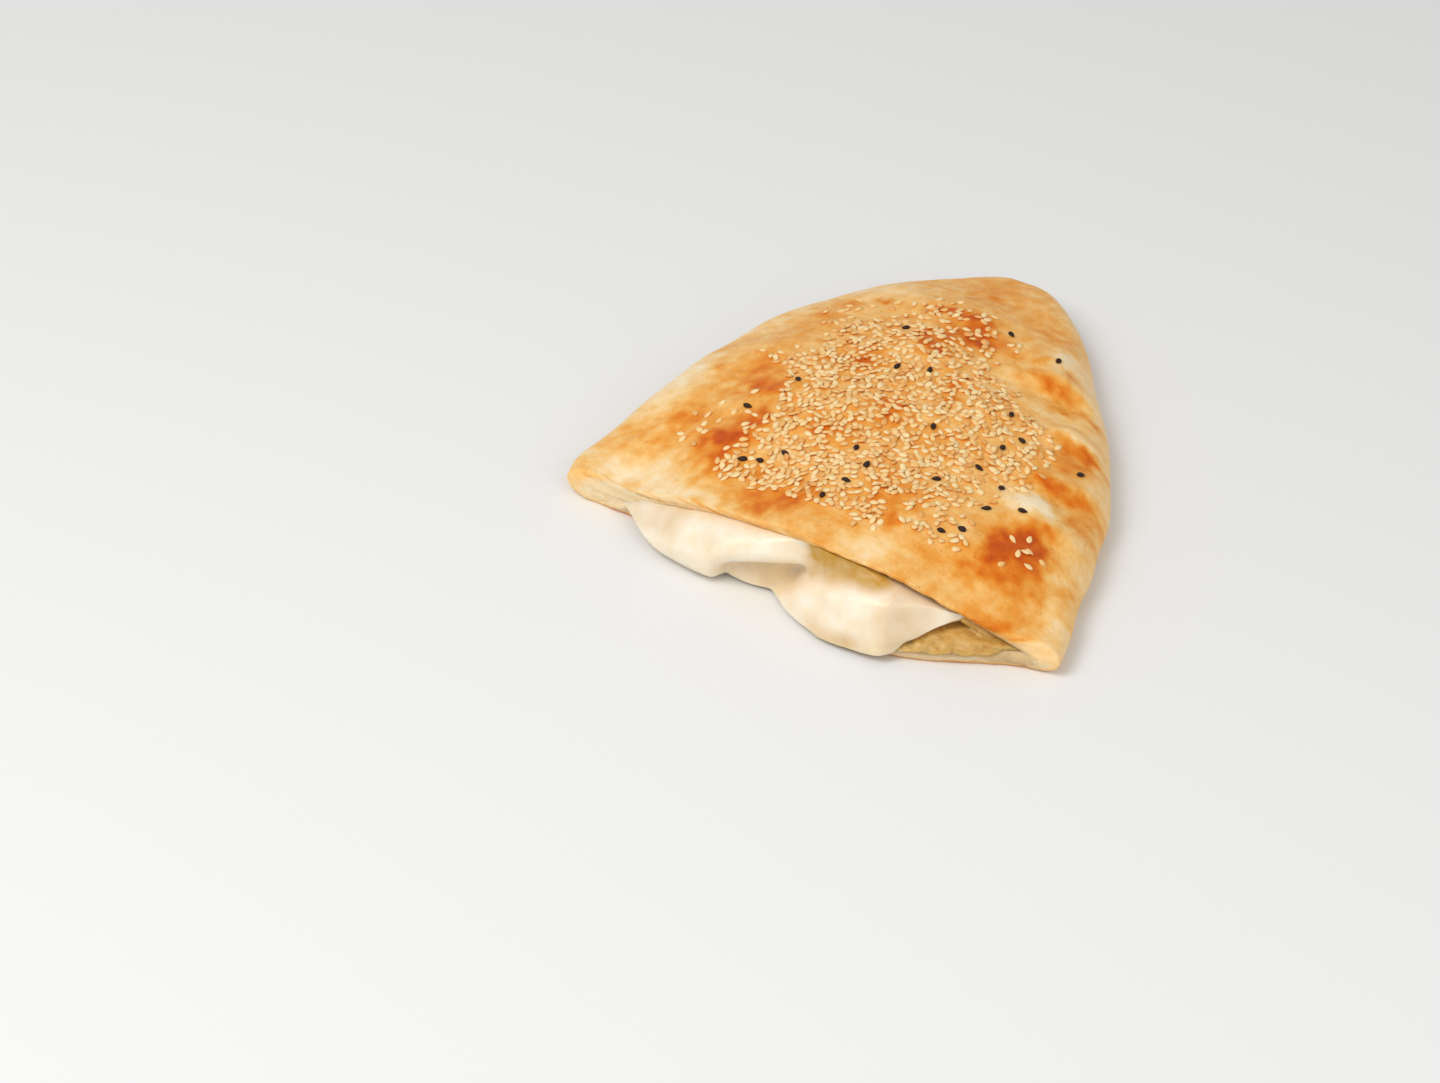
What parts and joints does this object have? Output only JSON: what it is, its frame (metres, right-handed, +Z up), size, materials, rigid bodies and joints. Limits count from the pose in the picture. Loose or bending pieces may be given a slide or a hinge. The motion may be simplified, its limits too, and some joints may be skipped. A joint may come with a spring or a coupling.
{
  "type": "half of a cheese-filled flatbread",
  "caption": "Half of a folded, baked flatbread cut across the middle, with sesame and nigella on the crust and melted white and yellow cheese at the cut.",
  "frame": {"origin": "middle of the footprint, on the flat underside", "axes": "+Z up from the underside, +Y from the cut towards the round corner, +X along the cut towards the thick end of its lower lip"},
  "size_m": [0.1618, 0.1807, 0.0278],
  "materials": {
    "crust": "baked crust, golden with brown patches, lightly brushed with fat",
    "white_cheese": "melted white cheese, smooth and slightly moist",
    "yellow_cheese": "melted yellow cheese, slightly oily",
    "sesame": "toasted sesame seed, satin",
    "nigella": "black nigella seed, matt"
  },
  "bodies": {
    "root": {"bread": "crust", "white_cheese": "white_cheese", "yellow_cheese": "yellow_cheese"}
  },
  "joints": []
}
